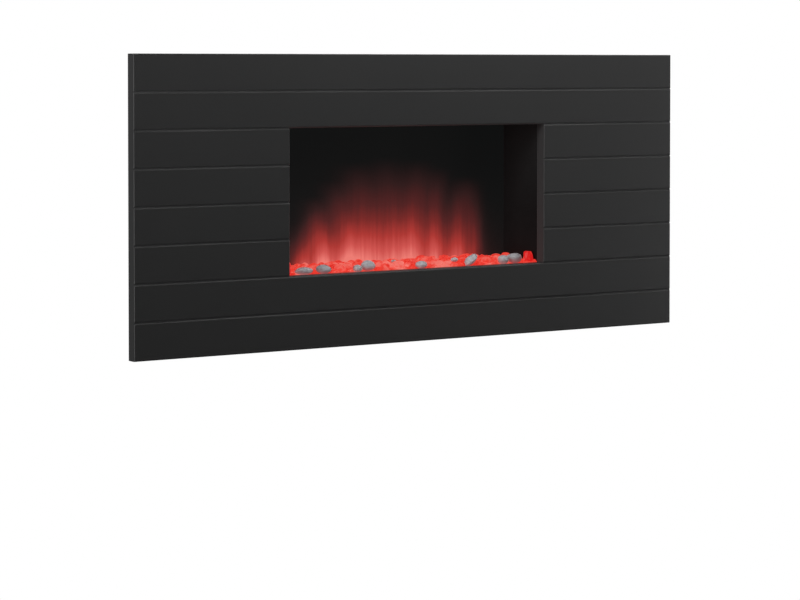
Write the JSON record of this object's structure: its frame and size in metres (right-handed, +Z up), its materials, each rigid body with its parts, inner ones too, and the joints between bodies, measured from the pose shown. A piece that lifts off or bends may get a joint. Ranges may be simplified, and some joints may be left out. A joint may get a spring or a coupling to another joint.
{
  "type": "electric fireplace",
  "caption": "Wide wall-hung electric fire: a dark grooved board front with an open window onto red flames over a lit pebble fuel bed, hung on a steel case with a fan heater.",
  "frame": {"origin": "middle of the wall rail's back face, on the wall", "axes": "+X to the viewer's right along the front, +Y into the wall, +Z up; the front faces -Y"},
  "size_m": [1.008, 0.165, 0.448],
  "materials": {
    "board_paint": "satin near-black lacquer on grooved fibreboard, slight sheen",
    "black_steel": "black powder coat, fine texture",
    "zinc_steel": "zinc-plated sheet, dull spangle",
    "motor_iron": "stacked laminations, oiled",
    "motor_winding": "amber insulating tape over enamelled wire",
    "liner_paint": "matt black heat-resistant paint",
    "ember_resin": "translucent red moulding, lit from below",
    "pebble_stone": "grey river pebble, matt and finely speckled",
    "screen_acrylic": "smoked diffusing acrylic with red flames on it",
    "flame_foil": "bright reflective foil",
    "black_rubber": "matt black rubber",
    "white_nylon": "natural nylon, off-white",
    "circuit_board": "green solder mask, satin",
    "fan_aluminium": "mill-finish aluminium",
    "heater_ceramic": "fired ceramic, matt, off-white",
    "black_plastic": "moulded black plastic, fine grain"
  },
  "bodies": {
    "wall_rail": {"wall_rail": "zinc_steel"},
    "fire": {"front_frame": "black_steel", "case_base": "black_steel", "case_top": "black_steel", "case_left": "black_steel", "case_right": "black_steel", "rear_cover": "zinc_steel", "wall_hanger_left": "zinc_steel", "wall_hanger_right": "zinc_steel", "wall_buffer_left": "black_rubber", "wall_buffer_right": "black_rubber", "liner_left": "liner_paint", "liner_right": "liner_paint", "liner_top": "liner_paint", "ember_tray": "liner_paint", "ember_bed": "ember_resin", "pebble_1": "pebble_stone", "pebble_2": "pebble_stone", "pebble_3": "pebble_stone", "pebble_4": "pebble_stone", "pebble_5": "pebble_stone", "pebble_6": "pebble_stone", "pebble_7": "pebble_stone", "pebble_8": "pebble_stone", "flame_screen": "screen_acrylic", "screen_clip_left": "zinc_steel", "screen_clip_right": "zinc_steel", "flame_template": "flame_foil", "spindle_motor": "zinc_steel", "spindle_bush": "white_nylon", "ember_lamp_board": "circuit_board", "flame_lamp_board": "circuit_board", "blower_scroll": "zinc_steel", "blower_tongue": "zinc_steel", "blower_end_left": "zinc_steel", "blower_end_right": "zinc_steel", "blower_bearing": "white_nylon", "motor_core": "motor_iron", "motor_coil": "motor_winding", "motor_bridge": "zinc_steel", "heater_element": "heater_ceramic", "thermal_cutout": "black_plastic", "control_board": "circuit_board", "terminal_block": "white_nylon", "cord_inlet": "black_plastic", "motor_wiring": "white_nylon", "power_switch_housing": "black_plastic", "flame_switch_housing": "black_plastic", "heat_switch_housing": "black_plastic"},
    "front_board": {"front_board": "board_paint", "board_hook_left": "zinc_steel", "board_hook_right": "zinc_steel"},
    "flame_spindle": {"flame_spindle": "flame_foil", "spindle_coupling": "black_rubber"},
    "blower_fan": {"blower_impeller": "fan_aluminium", "blower_rotor": "motor_iron"},
    "power_rocker": {"power_rocker": "black_plastic"},
    "flame_rocker": {"flame_rocker": "black_plastic"},
    "heat_rocker": {"heat_rocker": "black_plastic"}
  },
  "joints": [
    {"name": "fire_lift_off", "type": "slide", "parent": "wall_rail", "child": "fire", "axis": [0, 0, 1], "range_m": [0, 0.012]},
    {"name": "board_lift_off", "type": "slide", "parent": "fire", "child": "front_board", "axis": [0, 0, 1], "range_m": [0, 0.013]},
    {"name": "flame_spindle_spin", "type": "hinge", "parent": "fire", "child": "flame_spindle", "pos_m": [0, -0.0335, -0.23], "axis": [1, 0, 0], "continuous": true},
    {"name": "blower_spin", "type": "hinge", "parent": "fire", "child": "blower_fan", "pos_m": [0, -0.092, -0.25], "axis": [1, 0, 0], "continuous": true},
    {"name": "power_rocker_tilt", "type": "hinge", "parent": "fire", "child": "power_rocker", "pos_m": [0.4012, -0.078, 0.02], "axis": [0, -1, 0], "range_deg": [0, 14]},
    {"name": "flame_rocker_tilt", "type": "hinge", "parent": "fire", "child": "flame_rocker", "pos_m": [0.4012, -0.078, -0.016], "axis": [0, -1, 0], "range_deg": [0, 14]},
    {"name": "heat_rocker_tilt", "type": "hinge", "parent": "fire", "child": "heat_rocker", "pos_m": [0.4012, -0.078, -0.052], "axis": [0, -1, 0], "range_deg": [0, 14]}
  ]
}
